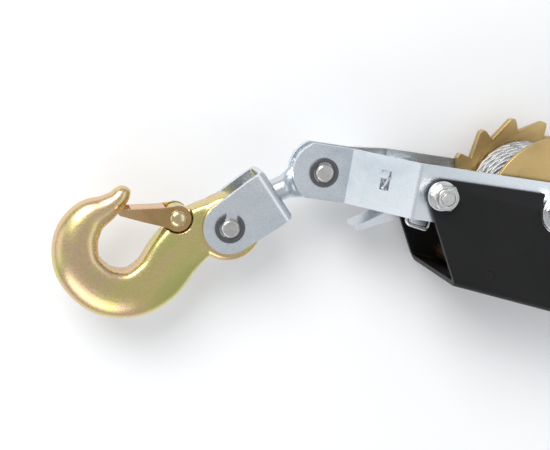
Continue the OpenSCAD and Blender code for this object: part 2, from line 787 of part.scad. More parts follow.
module lever_channel() {
    color("#1d1e20") at([0, 0]) difference() {
        intersection() {
            skin([channel_ring(-90, lever_out, web_y(-90)), channel_ring(belly_x, lever_out, web_y(belly_x)),
                channel_ring(neck_x, neck_half, neck_bottom),
                channel_ring(channel_end_x, neck_half, neck_bottom)], bent_sheet = true);
            translate([0, 0, -60]) linear_extrude(120) lever_outline();
        }
        translate([-bolt_x, 0, -60]) cylinder(h = 120, r = 4 + fit, $fn = fine);
        translate([drive_at[0], drive_at[1], -60]) cylinder(h = 120, r = 3, $fn = fine);
    }
}

// Turns a section drawn as width, height so that it runs along +X
module along_x(x0, length) {
    translate([x0, 0, 0]) rotate([0, 90, 0]) linear_extrude(length) children();
}

module grip_section(half_w, half_h, corner) {
    for (a = [-1, 1], b = [-1, 1]) translate([a * (half_w - corner), b * (half_h - corner)])
        circle(r = corner, $fn = fine);
    square([2 * half_w - 2 * corner, 2 * half_h], center = true);
    square([2 * half_w, 2 * half_h - 2 * corner], center = true);
}

module lever_grip() {
    mid_y = (neck_top + neck_bottom) / 2;
    half_h = (neck_top - neck_bottom) / 2;
    color("#232323") at([0, mid_y]) difference() {
        union() {
            along_x(grip_end_x - grip_len, grip_len) grip_section(neck_half + 3.4, half_h + 3.4, 10);
            along_x(grip_end_x - grip_len, 7) grip_section(neck_half + 6, half_h + 6, 12);
            along_x(grip_end_x - 9, 9) grip_section(neck_half + 5.5, half_h + 5.5, 12);
        }
        along_x(grip_end_x - grip_len - 1, channel_end_x - grip_end_x + grip_len + 1)
            grip_section(neck_half + bolt_gap, half_h + bolt_gap, 0.6);
    }
}

side_plate_near();
side_plate_far();
frame_pin();
frame_pin_clips();
pivot_bolt();
pivot_nut();
pivot_washers();
pivot_spacer();
axle_bolt();
axle_nut();
axle_washers();
axle_sleeve();
tail_bolt();
tail_nut();
tail_washers();
tail_spacer();
holding_pawl();
holding_pawl_spring();
eye_stud();
stud_washer();
stud_nut();
clevis();
clevis_pin();
clevis_pin_clips();
anchor_hook();
anchor_latch();
anchor_latch_rivet();
anchor_latch_spring();
drum_core();
ratchet_wheel();
drum_flange();
rope_set_screw();
rope_coil();
lever_channel();
lever_grip();
drive_pawl_pin();
drive_pawl();
drive_pawl_spring();
rope_lead();
rope_ferrule();
rope_eye();
rope_thimble();
load_hook();
load_latch();
load_latch_rivet();
load_latch_spring();
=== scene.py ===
import json
import math

import bmesh
import bpy
from mathutils import Matrix, Vector


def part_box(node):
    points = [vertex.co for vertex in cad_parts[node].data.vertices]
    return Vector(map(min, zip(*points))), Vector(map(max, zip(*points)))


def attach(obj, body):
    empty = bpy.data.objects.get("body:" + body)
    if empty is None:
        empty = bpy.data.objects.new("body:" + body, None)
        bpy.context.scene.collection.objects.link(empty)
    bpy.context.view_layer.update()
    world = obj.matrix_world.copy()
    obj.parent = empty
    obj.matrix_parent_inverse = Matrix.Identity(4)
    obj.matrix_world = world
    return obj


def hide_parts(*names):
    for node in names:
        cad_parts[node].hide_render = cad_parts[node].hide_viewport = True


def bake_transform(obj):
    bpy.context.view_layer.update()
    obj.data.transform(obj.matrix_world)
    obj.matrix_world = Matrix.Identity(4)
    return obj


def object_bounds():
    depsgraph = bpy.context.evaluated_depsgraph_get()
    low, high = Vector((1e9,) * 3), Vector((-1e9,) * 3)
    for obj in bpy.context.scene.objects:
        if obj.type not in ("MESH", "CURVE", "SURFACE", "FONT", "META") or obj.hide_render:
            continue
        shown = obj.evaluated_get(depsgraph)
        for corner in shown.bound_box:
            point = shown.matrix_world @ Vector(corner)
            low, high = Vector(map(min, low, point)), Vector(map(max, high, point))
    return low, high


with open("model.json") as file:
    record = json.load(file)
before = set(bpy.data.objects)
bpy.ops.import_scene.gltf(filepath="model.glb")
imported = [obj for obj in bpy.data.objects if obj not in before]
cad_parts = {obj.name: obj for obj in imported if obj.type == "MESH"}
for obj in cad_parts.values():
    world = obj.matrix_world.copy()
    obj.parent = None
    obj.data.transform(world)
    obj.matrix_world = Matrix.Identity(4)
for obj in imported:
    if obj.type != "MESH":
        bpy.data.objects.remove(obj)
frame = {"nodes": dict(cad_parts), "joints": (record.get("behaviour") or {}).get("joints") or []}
cad_low, cad_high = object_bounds()

MM = 0.001
TAU = 2 * math.pi


# ---------- where things are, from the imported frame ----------

def middle(node):
    """Centre of a CAD node's box."""
    low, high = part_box(node)
    return (low + high) / 2


MID_Z = middle("side_plate_near").z / 2 + middle("side_plate_far").z / 2


def flat(v):
    """The same point on the middle plane between the side plates."""
    return Vector((v[0], v[1], MID_Z))


DRUM = Vector((0, 0, MID_Z))
CLEVIS_PIN = middle("clevis_pin")
FRAME_PIN = middle("frame_pin")
PIVOT = middle("pivot_spacer")
DRIVE_PIN = middle("drive_pawl_pin")
LOAD_RIVET = middle("load_latch_rivet")
LEAD = middle("rope_lead")
LEAD_END_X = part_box("rope_lead")[1].x
ROPE_R = (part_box("rope_lead")[1].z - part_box("rope_lead")[0].z) / 2
COIL_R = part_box("rope_coil")[1].x
JOINTS = {j["name"]: j for j in frame["joints"]}
STUD_DIR = Vector(JOINTS["clevis_swivel"]["axis"])
LOAD_EYE = Vector(JOINTS["load_hook_swing"]["pos_m"])


# ---------- camera, light and floor ----------

# The camera's place from the drum's centre in millimetres, where it looks, and its upward side
CAMERA_AT = DRUM + Vector((-308, 71, 627.6)) * MM
CAMERA_LOOK = Vector((0.2425, -0.1587, -0.9571))
CAMERA_UP = Vector((-0.1251, 0.9732, -0.1930))
FIELD_OF_VIEW = math.radians(25.84)
SENSOR_WIDTH = 36


def add_camera():
    data = bpy.data.cameras.new("camera")
    data.sensor_width = SENSOR_WIDTH
    data.lens = SENSOR_WIDTH / 2 / math.tan(FIELD_OF_VIEW / 2)
    data.clip_start = 0.01
    data.clip_end = 30
    cam = bpy.data.objects.new("camera", data)
    back = -CAMERA_LOOK.normalized()
    right = CAMERA_UP.cross(back).normalized()
    up = back.cross(right)
    cam.matrix_world = Matrix.Translation(CAMERA_AT) @ Matrix((right, up, back)).transposed().to_4x4()
    bpy.context.scene.collection.objects.link(cam)
    bpy.context.scene.camera = cam


def area_light(name, at, target, size, power, tint=(1, 1, 1)):
    data = bpy.data.lights.new(name, "AREA")
    data.shape = "RECTANGLE"
    data.size, data.size_y = size
    data.energy = power
    data.color = tint
    lamp = bpy.data.objects.new(name, data)
    lamp.location = at
    lamp.rotation_euler = (Vector(target) - Vector(at)).to_track_quat("-Z", "Y").to_euler()
    bpy.context.scene.collection.objects.link(lamp)


def add_studio():
    world = bpy.data.worlds.new("studio")
    world.use_nodes = True
    sky = world.node_tree.nodes["Background"]
    sky.inputs["Color"].default_value = (0.93, 0.96, 1.0, 1)
    sky.inputs["Strength"].default_value = 0.54
    bpy.context.scene.world = world
    bpy.context.scene.view_settings.view_transform = "Standard"
    centre = (cad_low + cad_high) / 2
    area_light("key", centre + Vector((-0.9, 0.9, 1.3)), centre, size=(0.9, 0.9), power=20)
    area_light("fill", centre + Vector((0.9, 0.2, 1.5)), centre, size=(1.6, 0.8), power=3,
               tint=(0.95, 0.98, 1))
    area_light("front", centre + Vector((-0.5, -1.2, 0.9)), centre, size=(1.2, 0.6), power=5)
    area_light("side", centre + Vector((-2.0, -0.35, 0.85)), centre, size=(1.4, 1.0), power=3)

    mesh = bpy.data.meshes.new("floor")
    reach = 5.0
    clearance = 0.2 * MM
    mesh.from_pydata([(x * reach, y * reach, 0) for x, y in ((-1, -1), (1, -1), (1, 1), (-1, 1))], [],
                     [(0, 1, 2, 3)])
    floor = bpy.data.objects.new("floor", mesh)
    floor.location = (centre.x, centre.y, min(0, cad_low.z) - clearance)
    bpy.context.scene.collection.objects.link(floor)
    paper = bpy.data.materials.new("paper")
    paper.use_nodes = True
    shader = paper.node_tree.nodes["Principled BSDF"]
    shader.inputs["Base Color"].default_value = (0.93, 0.93, 0.93, 1)
    shader.inputs["Roughness"].default_value = 0.9
    mesh.materials.append(paper)


# ---------- materials ----------

def nodes_of(name, **sockets):
    """A new material, its node tree and its shader with constant sockets set."""
    mat = bpy.data.materials.new(name)
    mat.use_nodes = True
    tree = mat.node_tree
    shader = tree.nodes["Principled BSDF"]
    for key, value in sockets.items():
        shader.inputs[key.replace("_", " ")].default_value = value
    return mat, tree, shader


def ramp(tree, source, stops):
    """Colour along a list of (place, colour) stops."""
    node = tree.nodes.new("ShaderNodeValToRGB")
    while len(node.color_ramp.elements) < len(stops):
        node.color_ramp.elements.new(0.5)
    for element, (at, colour) in zip(node.color_ramp.elements, stops):
        element.position = at
        element.color = (*colour, 1)
    tree.links.new(source, node.inputs["Fac"])
    return node.outputs["Color"]


def noise_of(tree, scale, detail=3, stretch=(1, 1, 1), rough=0.55, distortion=0.0):
    """Noise over the object's own coordinates."""
    place = tree.nodes.new("ShaderNodeTexCoord")
    mapping = tree.nodes.new("ShaderNodeMapping")
    mapping.inputs["Scale"].default_value = stretch
    texture = tree.nodes.new("ShaderNodeTexNoise")
    texture.inputs["Scale"].default_value = scale
    texture.inputs["Detail"].default_value = detail
    texture.inputs["Roughness"].default_value = rough
    texture.inputs["Distortion"].default_value = distortion
    tree.links.new(place.outputs["Object"], mapping.inputs["Vector"])
    tree.links.new(mapping.outputs["Vector"], texture.inputs["Vector"])
    return texture.outputs["Fac"]


def mapped(tree, source, low, high, start=0.3, stop=0.7):
    """A value that goes from low to high as the source goes from start to stop."""
    node = tree.nodes.new("ShaderNodeMapRange")
    node.inputs["From Min"].default_value = start
    node.inputs["From Max"].default_value = stop
    node.inputs["To Min"].default_value = low
    node.inputs["To Max"].default_value = high
    tree.links.new(source, node.inputs["Value"])
    return node.outputs["Result"]


def mixed(tree, factor, first, second):
    """Mixes two colours: the node's colour sockets are inputs 6 and 7 and output 2."""
    node = tree.nodes.new("ShaderNodeMix")
    node.data_type = "RGBA"
    tree.links.new(factor, node.inputs["Factor"])
    for socket, value in ((node.inputs[6], first), (node.inputs[7], second)):
        if isinstance(value, tuple):
            socket.default_value = (*value, 1)
        else:
            tree.links.new(value, socket)
    return node.outputs[2]


def edges_of(tree, start=0.515, stop=0.57):
    """Near 1 on worn outer edges."""
    node = tree.nodes.new("ShaderNodeNewGeometry")
    return mapped(tree, node.outputs["Pointiness"], 0, 1, start, stop)


def bumped(tree, shader, heights, strength, distance):
    """Bump from one or more height fields, from coarse to fine."""
    last = None
    for height, share in heights:
        node = tree.nodes.new("ShaderNodeBump")
        node.inputs["Strength"].default_value = strength * share
        node.inputs["Distance"].default_value = distance
        tree.links.new(height, node.inputs["Height"])
        if last is not None:
            tree.links.new(last, node.inputs["Normal"])
        last = node.outputs["Normal"]
    tree.links.new(last, shader.inputs["Normal"])


# Bump distance of a finish's grain
BUMP_DEPTH = 0.2 * MM


def plated(name, stops, blotch, rough, grain, bump, wear, stretch=(1, 1, 1), metallic=1.0):
    """Plated steel: patches of colour, a grain that roughens it, and paler worn edges."""
    mat, tree, shader = nodes_of(name, Metallic=metallic)
    patches = noise_of(tree, blotch, stretch=stretch, rough=0.6, distortion=0.6)
    colour = mixed(tree, edges_of(tree), ramp(tree, patches, stops), wear)
    fine = noise_of(tree, grain, 4, stretch)
    coarse = noise_of(tree, grain / 6, 2, stretch)
    tree.links.new(colour, shader.inputs["Base Color"])
    tree.links.new(mapped(tree, fine, *rough), shader.inputs["Roughness"])
    bumped(tree, shader, [(coarse, 0.3), (fine, 1.0)], bump, BUMP_DEPTH)
    return mat


YELLOW_ZINC = plated("yellow_zinc",
                     [(0.34, (0.60, 0.58, 0.21)), (0.44, (0.72, 0.60, 0.25)), (0.54, (0.73, 0.52, 0.32)),
                      (0.66, (0.66, 0.61, 0.23))],
                     blotch=19, rough=(0.22, 0.36), grain=1100, bump=0.08, wear=(0.74, 0.67, 0.42))
COPPER_ZINC = plated("copper_zinc",
                     [(0.36, (0.40, 0.30, 0.08)), (0.5, (0.56, 0.34, 0.14)), (0.64, (0.48, 0.38, 0.12))],
                     blotch=70, rough=(0.18, 0.30), grain=1600, bump=0.08, wear=(0.86, 0.50, 0.32))
BRASSY_ZINC = plated("brassy_zinc",
                     [(0.3, (0.62, 0.48, 0.24)), (0.7, (0.74, 0.62, 0.36))],
                     blotch=200, rough=(0.16, 0.26), grain=2000, bump=0.05, wear=(0.80, 0.70, 0.48))
BRIGHT_ZINC = plated("bright_zinc",
                     [(0.34, (0.52, 0.58, 0.63)), (0.5, (0.62, 0.67, 0.71)), (0.66, (0.68, 0.71, 0.74))],
                     blotch=22, rough=(0.24, 0.40), grain=900, bump=0.05, wear=(0.84, 0.87, 0.90),
                     stretch=(1, 2, 2))
STEEL = plated("machined_steel",
               [(0.3, (0.52, 0.51, 0.48)), (0.6, (0.66, 0.64, 0.60))],
               blotch=160, rough=(0.20, 0.36), grain=2000, bump=0.06, wear=(0.80, 0.79, 0.76))
SPRING_STEEL = plated("spring_steel",
                      [(0.3, (0.50, 0.51, 0.52)), (0.6, (0.66, 0.67, 0.68))],
                      blotch=300, rough=(0.18, 0.30), grain=3000, bump=0.08, wear=(0.8, 0.8, 0.8))
BROWN_ZINC = plated("brown_zinc",
                    [(0.3, (0.30, 0.18, 0.06)), (0.5, (0.48, 0.30, 0.11)), (0.7, (0.52, 0.36, 0.14))],
                    blotch=60, rough=(0.28, 0.44), grain=1500, bump=0.12, wear=(0.66, 0.50, 0.24))
BRONZE = plated("bronze",
                [(0.3, (0.42, 0.27, 0.11)), (0.7, (0.60, 0.42, 0.20))],
                blotch=90, rough=(0.3, 0.45), grain=1500, bump=0.15, wear=(0.7, 0.52, 0.28))
BLACK_OXIDE = plated("black_oxide",
                     [(0.3, (0.018, 0.019, 0.021)), (0.7, (0.045, 0.046, 0.05))],
                     blotch=260, rough=(0.32, 0.48), grain=2600, bump=0.15, wear=(0.16, 0.16, 0.17),
                     metallic=0.6)
FERRULE = plated("pressed_aluminium",
                 [(0.3, (0.60, 0.61, 0.63)), (0.7, (0.74, 0.75, 0.77))],
                 blotch=140, rough=(0.28, 0.45), grain=1600, bump=0.25, wear=(0.85, 0.86, 0.88))


def powder_coat():
    mat, tree, shader = nodes_of("black_powder", Coat_Weight=0.1, Coat_Roughness=0.4,
                                 Specular_IOR_Level=0.18)
    patches = noise_of(tree, 25)
    paint = ramp(tree, patches, [(0.3, (0.004, 0.004, 0.004)), (0.7, (0.008, 0.0078, 0.0078))])
    colour = mixed(tree, edges_of(tree, 0.53, 0.62), paint, (0.018, 0.018, 0.019))
    peel = noise_of(tree, 900, 2)
    tree.links.new(colour, shader.inputs["Base Color"])
    tree.links.new(mapped(tree, peel, 0.46, 0.58), shader.inputs["Roughness"])
    bumped(tree, shader, [(noise_of(tree, 260, 2), 0.7), (peel, 1.0)], 0.16, BUMP_DEPTH)
    return mat


def rubber():
    mat, tree, shader = nodes_of("grip_rubber")
    patches = noise_of(tree, 40)
    black = ramp(tree, patches, [(0.3, (0.010, 0.010, 0.010)), (0.7, (0.020, 0.020, 0.021))])
    colour = mixed(tree, edges_of(tree, 0.52, 0.6), black, (0.05, 0.05, 0.05))
    tree.links.new(colour, shader.inputs["Base Color"])
    grain = noise_of(tree, 1600)
    tree.links.new(mapped(tree, grain, 0.55, 0.75), shader.inputs["Roughness"])
    bumped(tree, shader, [(grain, 1.0)], 0.3, BUMP_DEPTH)
    return mat


def wire_rope():
    """Wires twisted into each strand, drawn along the strand's own UV, with painted shade darkening the
    grooves between the wires.
    """
    twist, wires_round = 55.0, 8.0
    mat, tree, shader = nodes_of("wire_rope", Metallic=1.0)
    uv = tree.nodes.new("ShaderNodeUVMap")
    split = tree.nodes.new("ShaderNodeSeparateXYZ")
    tree.links.new(uv.outputs["UV"], split.inputs["Vector"])

    def math_node(operation, first, second=0.0):
        node = tree.nodes.new("ShaderNodeMath")
        node.operation = operation
        for socket, value in zip(node.inputs, (first, second)):
            if isinstance(value, float):
                socket.default_value = value
            else:
                tree.links.new(value, socket)
        return node.outputs[0]

    turns = math_node("ADD", math_node("MULTIPLY", split.outputs["X"], twist),
                      math_node("MULTIPLY", split.outputs["Y"], wires_round))
    wires = math_node("ABSOLUTE", math_node("SINE", math_node("MULTIPLY", turns, math.pi)))
    dirt = noise_of(tree, 120)
    tone = ramp(tree, dirt, [(0.3, (0.52, 0.53, 0.54)), (0.7, (0.74, 0.75, 0.76))])
    # Painted shade: the grooves between the wires are darkened to 0.10 grey
    tone_with_painted_groove_shade = mixed(tree, mapped(tree, wires, 1, 0, 0.0, 0.5), tone, (0.10, 0.10, 0.10))
    tree.links.new(tone_with_painted_groove_shade, shader.inputs["Base Color"])
    tree.links.new(mapped(tree, dirt, 0.25, 0.42), shader.inputs["Roughness"])
    bumped(tree, shader, [(wires, 1.0)], 0.7, 0.15 * MM)
    return mat


def nylon():
    mat, tree, shader = nodes_of("nylon", Roughness=0.5, Subsurface_Weight=0.1)
    tone = ramp(tree, noise_of(tree, 400), [(0.3, (0.42, 0.46, 0.50)), (0.7, (0.60, 0.63, 0.66))])
    tree.links.new(tone, shader.inputs["Base Color"])
    return mat


BLACK_POWDER = powder_coat()
RUBBER = rubber()
ROPE = wire_rope()
NYLON = nylon()


# ---------- mesh helpers ----------

def link(name, mesh, mat, body, slot, *stands_for):
    """Adds a finished piece: its material, its body and the CAD nodes it stands for. The slot is not used.
    """
    mesh.materials.clear()
    mesh.materials.append(mat)
    piece = bpy.data.objects.new(name, mesh)
    bpy.context.scene.collection.objects.link(piece)
    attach(piece, body)
    if stands_for:
        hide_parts(*stands_for)
    return piece


def polar(radius, angle, height):
    return Vector((radius * math.cos(angle), radius * math.sin(angle), height))


def on_circle(centre, radius, angle):
    """The x and y of a point on a circle."""
    return centre[0] + radius * math.cos(angle), centre[1] + radius * math.sin(angle)


def squared(value, power):
    """Signed power of a sine or cosine: below 1 it squares a circle off."""
    return math.copysign(abs(value) ** power, value)


def spline(points, steps):
    """Catmull-Rom through lists of numbers, steps per span."""
    rows = []
    count = len(points)
    for k in range(count - 1):
        a, b = points[max(k - 1, 0)], points[k]
        c, d = points[k + 1], points[min(k + 2, count - 1)]
        for i in range(steps):
            t = i / steps
            rows.append([0.5 * (2 * q + (r - p) * t + (2 * p - 5 * q + 4 * r - s) * t * t
                                + (3 * q - p - 3 * r + s) * t ** 3) for p, q, r, s in zip(a, b, c, d)])
    rows.append(list(points[-1]))
    return rows


def headings(points):
    last = len(points) - 1
    return [(points[min(i + 1, last)] - points[max(i - 1, 0)]).normalized() for i in range(last + 1)]


def sides(points):
    """Two side directions at each point, which turn as little as they can along the path."""
    ahead = headings(points)
    nearly_upright = abs(ahead[0].z) >= 0.9
    start = Vector((1, 0, 0)) if nearly_upright else Vector((0, 0, 1))
    side = (start - start.dot(ahead[0]) * ahead[0]).normalized()
    found = []
    for h in ahead:
        side = (side - side.dot(h) * h).normalized()
        found.append((side, h.cross(side)))
    return found


def rings_mesh(bm, rings, closed=False, uv=None):
    """Skins rings of the same number of points; closed joins the last ring to the first."""
    grid = [[bm.verts.new(p) for p in ring] for ring in rings]
    n = len(rings[0])
    spans = len(rings) if closed else len(rings) - 1
    layer = bm.loops.layers.uv.verify() if uv else None
    for i in range(spans):
        following = grid[(i + 1) % len(grid)]
        for j in range(n):
            k = (j + 1) % n
            face = bm.faces.new((grid[i][j], grid[i][k], following[k], following[j]))
            face.smooth = True
            if uv:
                for loop, (di, dj) in zip(face.loops, ((0, 0), (0, 1), (1, 1), (1, 0))):
                    loop[layer].uv = uv(i + di, j + dj)
    if not closed:
        for ring, turn in ((grid[0], -1), (grid[-1], 1)):
            face = bm.faces.new(ring[::turn])
            face.smooth = True


def finished(name, bm):
    bmesh.ops.recalc_face_normals(bm, faces=bm.faces)
    mesh = bpy.data.meshes.new(name)
    bm.to_mesh(mesh)
    bm.free()
    return mesh


def tube(bm, points, radius, around, taper=None):
    """A round wire along points."""
    rings = []
    for i, (p, (s, t)) in enumerate(zip(points, sides(points))):
        r = radius * (taper(i, len(points)) if taper else 1)
        rings.append([p + r * (s * math.cos(TAU * j / around) + t * math.sin(TAU * j / around))
                      for j in range(around)])
    rings_mesh(bm, rings)


def rounded_ends(i, count):
    """How thick a wire is at its i-th point: it narrows at both ends."""
    from_end = min(i, count - 1 - i)
    return {0: 0.45, 1: 0.85}.get(from_end, 1.0)


def extruded(bm, outline, low, high, holes):
    """A flat plate from an outline with round holes in it, between two heights."""
    part = bmesh.new()
    edges = []
    around = 48
    for loop in [outline] + [[on_circle(c, r, TAU * i / around) for i in range(around)] for c, r in holes]:
        verts = [part.verts.new((x, y, low)) for x, y in loop]
        edges += [part.edges.new((verts[i], verts[(i + 1) % len(verts)])) for i in range(len(verts))]
    bmesh.ops.triangle_fill(part, use_beauty=True, use_dissolve=False, edges=edges)
    grown = bmesh.ops.extrude_face_region(part, geom=part.faces[:])
    for v in grown["geom"]:
        if isinstance(v, bmesh.types.BMVert):
            v.co.z = high
    bmesh.ops.recalc_face_normals(part, faces=part.faces)
    mesh = bpy.data.meshes.new("part")
    part.to_mesh(mesh)
    part.free()
    bm.from_mesh(mesh)
    bpy.data.meshes.remove(mesh)


def lathe(bm, profile, centre=(0, 0, 0), around=64):
    """Turns a list of (radius, height) about an upright axis through centre."""
    rings = [[Vector(centre) + polar(r, TAU * j / around, h) for j in range(around)] for r, h in profile]
    rings_mesh(bm, rings)


def turned(bm, profile, centre=(0, 0), around=64):
    """Lathes a profile in millimetres about an upright axis."""
    lathe(bm, [(r * MM, z * MM) for r, z in profile], [c * MM for c in centre] + [0], around)


def round_eye(radius, half_h, edge, shoulder=None):
    """A flat boss's whole profile from the bottom up. Its rim has a chamfer as deep as edge, which a
    shoulder, (inset, drop), rounds off with one point more."""
    upper = [(radius, half_h - edge), (radius - edge, half_h)]
    if shoulder:
        inset, drop = shoulder
        upper.insert(1, (radius - inset, half_h - drop))
    return [(r, -z) for r, z in upper[::-1]] + upper


def soften(piece, width, angle=30):
    """Rounds the sharp edges of a piece."""
    edge = piece.modifiers.new("edge", "BEVEL")
    edge.width = width
    edge.segments = 2
    edge.limit_method = "ANGLE"
    edge.angle_limit = math.radians(angle)
    shade = piece.modifiers.new("shade", "WEIGHTED_NORMAL")
    shade.keep_sharp = False
    for p in piece.data.polygons:
        p.use_smooth = True
    return piece


def baked(piece):
    """Applies a piece's modifiers and returns its mesh."""
    graph = bpy.context.evaluated_depsgraph_get()
    return bpy.data.meshes.new_from_object(piece.evaluated_get(graph))


def forged(bm, voxel, passes, cuts):
    """Blends overlapping solids into one smooth forging, then cuts upright round holes into it.
    The voxel and the cuts' centres, radii and heights are in millimetres."""
    piece = bpy.data.objects.new("blank", finished("blank", bm))
    bpy.context.scene.collection.objects.link(piece)
    melt = piece.modifiers.new("melt", "REMESH")
    melt.mode = "VOXEL"
    melt.voxel_size = voxel * MM
    melt.use_smooth_shade = True
    relax = piece.modifiers.new("relax", "SMOOTH")
    relax.factor = 0.5
    relax.iterations = passes
    tools = []
    for k, (centre, radius, low, high) in enumerate(cuts):
        cutter = bmesh.new()
        turned(cutter, [(radius, low), (radius, high)], centre, 96)
        tool = bpy.data.objects.new("tool%d" % k, finished("tool", cutter))
        bpy.context.scene.collection.objects.link(tool)
        cut = piece.modifiers.new("cut", "BOOLEAN")
        cut.operation = "DIFFERENCE"
        cut.solver = "EXACT"
        cut.object = tool
        tools.append(tool)
    bpy.context.view_layer.update()
    mesh = baked(piece)
    for o in [piece] + tools:
        bpy.data.objects.remove(o)
    for p in mesh.polygons:
        p.use_smooth = True
    return mesh


def dress(node, mat, bevel, angle=32):
    """Gives a CAD node its finish, joins up its flat faces and rounds its sharp edges."""
    piece = frame["nodes"][node]
    mesh = piece.data
    mesh.materials.clear()
    mesh.materials.append(mat)
    if "custom_normal" in mesh.attributes:
        mesh.attributes.remove(mesh.attributes["custom_normal"])
    weld = piece.modifiers.new("weld", "WELD")
    weld.merge_threshold = 0.004 * MM
    flat_faces = piece.modifiers.new("flat_faces", "DECIMATE")
    flat_faces.decimate_type = "DISSOLVE"
    flat_faces.angle_limit = math.radians(0.6)
    soften(piece, bevel * MM, angle)


# ---------- hooks ----------

# Centre line of the hook about its eye, in millimetres: x, y, half width, half thickness, then how
# square its section is and how far its crest lies towards the throat
HOOK_LINE = [(-4, -1, 15, 8.3, 0.30, 0.0), (-15.5, -6.5, 14.2, 8.3, 0.32, 0.0),
             (-25, -19, 14.5, 8.7, 0.50, 0.22), (-32.5, -34, 14.4, 9.2, 0.74, 0.40),
             (-45, -44, 13.6, 9.6, 0.80, 0.45), (-61.5, -44, 13.3, 9.6, 0.82, 0.42),
             (-75, -33.5, 12.6, 9.2, 0.84, 0.36), (-78.5, -19, 12, 8.6, 0.86, 0.25),
             (-74, -7, 10.2, 7.6, 0.9, 0.12), (-65.5, 0, 7.3, 6.1, 0.95, 0.05), (-60, 5.5, 5.5, 5.3, 1, 0),
             (-58, 10, 4.7, 4.6, 1, 0), (-57.9, 12.2, 3.2, 3.2, 1, 0), (-57.9, 13.2, 1.2, 1.2, 1, 0)]
HOOK_EYE_R = 18.2
HOOK_EYE_AT = (0.7, -1.1)
HOOK_EYE_H = 8.4
# Where the latch's rivet goes through the hook, and its cheeks' inner face and thickness
RIVET_AT = (-27.5, 0.7)
CHEEK_IN = 6.8
CHEEK_T = 1.2
# Radii of the bores, and how far a cut reaches on each side to come out of the forging
RIVET_BORE_R = 2.55
PIN_BORE_R = 5.06
LOAD_EYE_BORE_R = 10
THROUGH = 20


def hook_section(half_w, half_t, power, crest, around):
    """Forged section: the crest runs nearer the throat, and the back slopes away flatter."""
    for j in range(around):
        a = TAU * j / around
        across = squared(math.cos(a), power)
        rise = squared(math.sin(a), power)
        yield half_w * (across - crest * (1 - across * across)), half_t * rise


def hook_blank(bm):
    """The swept hook with its eye and the lug between the latch's cheeks, still in one another."""
    steps, around = 8, 40
    rows = spline(HOOK_LINE, steps)
    line = [Vector((r[0], r[1], 0)) for r in rows]
    rings = []
    for p, h, row in zip(line, headings(line), rows):
        out = Vector((-h.y, h.x, 0))
        rings.append([(p + s * out + Vector((0, 0, z))) * MM
                      for s, z in hook_section(*row[2:], around)])
    rings_mesh(bm, rings)
    turned(bm, round_eye(HOOK_EYE_R, HOOK_EYE_H, 2.6, shoulder=(0.8, 1)), HOOK_EYE_AT)
    lug_r, lug_h = 6.8, 4.6
    turned(bm, [(lug_r, -lug_h), (lug_r, lug_h)], RIVET_AT)


def hook_mesh(bore_r):
    """Forged hook, bored for its pin and its rivet, with a seat on each face for the latch's head."""
    blank = bmesh.new()
    hook_blank(blank)
    seat_r, seat_low, seat_high = 8.3, 4.6, 12
    cuts = [((0, 0), bore_r, -THROUGH, THROUGH), (RIVET_AT, RIVET_BORE_R, -THROUGH, THROUGH),
            (RIVET_AT, seat_r, seat_low, seat_high), (RIVET_AT, seat_r, -seat_high, -seat_low)]
    return forged(blank, voxel=0.62, passes=5, cuts=cuts)


CHEEK = [(-31, 6.7), (-38, 4.9), (-58, 1.3), (-59.1, 0.2), (-59.2, -0.8), (-58.4, -1.8), (-45, -3.6),
         (-34, -4.7), (-30.4, -5.7)]


def cheek_outline():
    """Outline of a tapering cheek with a round head about the rivet, in metres."""
    head_r, steps = 7.0, 28
    start, stop = math.radians(-115), math.radians(120)
    arc = [on_circle(RIVET_AT, head_r, start + (stop - start) * i / steps) for i in range(steps + 1)]
    return [(x * MM, y * MM) for x, y in CHEEK + arc]


def latch_mesh():
    """Pressed latch: two cheeks joined by a bent top, which spans the hook's tip."""
    bm = bmesh.new()
    rivet = tuple(c * MM for c in RIVET_AT)
    for low in (CHEEK_IN, -CHEEK_IN - CHEEK_T):
        extruded(bm, cheek_outline(), low * MM, (low + CHEEK_T) * MM, [(rivet, RIVET_BORE_R * MM)])
    outer = CHEEK_IN + CHEEK_T
    bend, steps = 2.2, 8
    profile = []
    for side in (1, -1):
        for i in range(steps + 1):
            a = math.pi / 2 * (i / steps if side == 1 else 1 - i / steps)
            profile.append((side * (outer - bend + bend * math.cos(a)), bend * math.sin(a) - bend))
    # The sheet's inside is as wide as the gap between the cheeks. Between its two edges it lies
    # a thickness lower than the outside
    edge = outer - 0.1
    inner = [(z * CHEEK_IN / outer, d - CHEEK_T if abs(z) < edge else d) for z, d in profile]
    section = profile + inner[::-1]
    top_line = ((-53.0, 2.45), (-35.0, 5.7))
    rings = [[Vector((x, top + d, z)) * MM for z, d in section] for x, top in top_line]
    rings_mesh(bm, rings)
    return finished("latch", bm)


def rivet_mesh():
    """Rivet with a low domed head at both ends, on a short straight rim."""
    bm = bmesh.new()
    shank_r, head_r, dome, rim, steps = 2.5, 4.6, 2.3, 0.35, 9
    head_z = CHEEK_IN + CHEEK_T + 0.02
    half = [(shank_r, 0), (shank_r, head_z), (head_r - 0.3, head_z), (head_r, head_z + rim)]
    half += [(head_r * math.cos(a), head_z + rim + (dome - rim) * math.sin(a))
             for a in [math.pi / 2 * i / steps for i in range(1, steps)]]
    half.append((0.05, head_z + dome))
    turned(bm, [(r, -z) for r, z in half[::-1]] + half[1:], RIVET_AT, 48)
    return finished("rivet", bm)


def latch_spring_mesh():
    """Arm along the latch, most of a turn about the rivet, and a foot on the hook's shank."""
    bm = bmesh.new()
    coil_r, wire_r, coil_z, rise, start = 3.6, 0.45, 5.2, 1.0, 150
    line = [(-46, 1.0, 5.6), (-40, 1.9, 5.5), (-33.4, 3.2, 5.4)]
    line += [(*on_circle(RIVET_AT, coil_r, math.radians(a)), coil_z + rise * (start - a) / (2 * start))
             for a in range(start, -start - 1, -20)]
    line += [(-33.0, -3.0, 6.2), (-35.6, -6.2, 6.2)]
    tube(bm, [Vector(p) * MM for p in spline(line, 2)], wire_r * MM, 10, rounded_ends)
    return finished("latch_spring", bm)


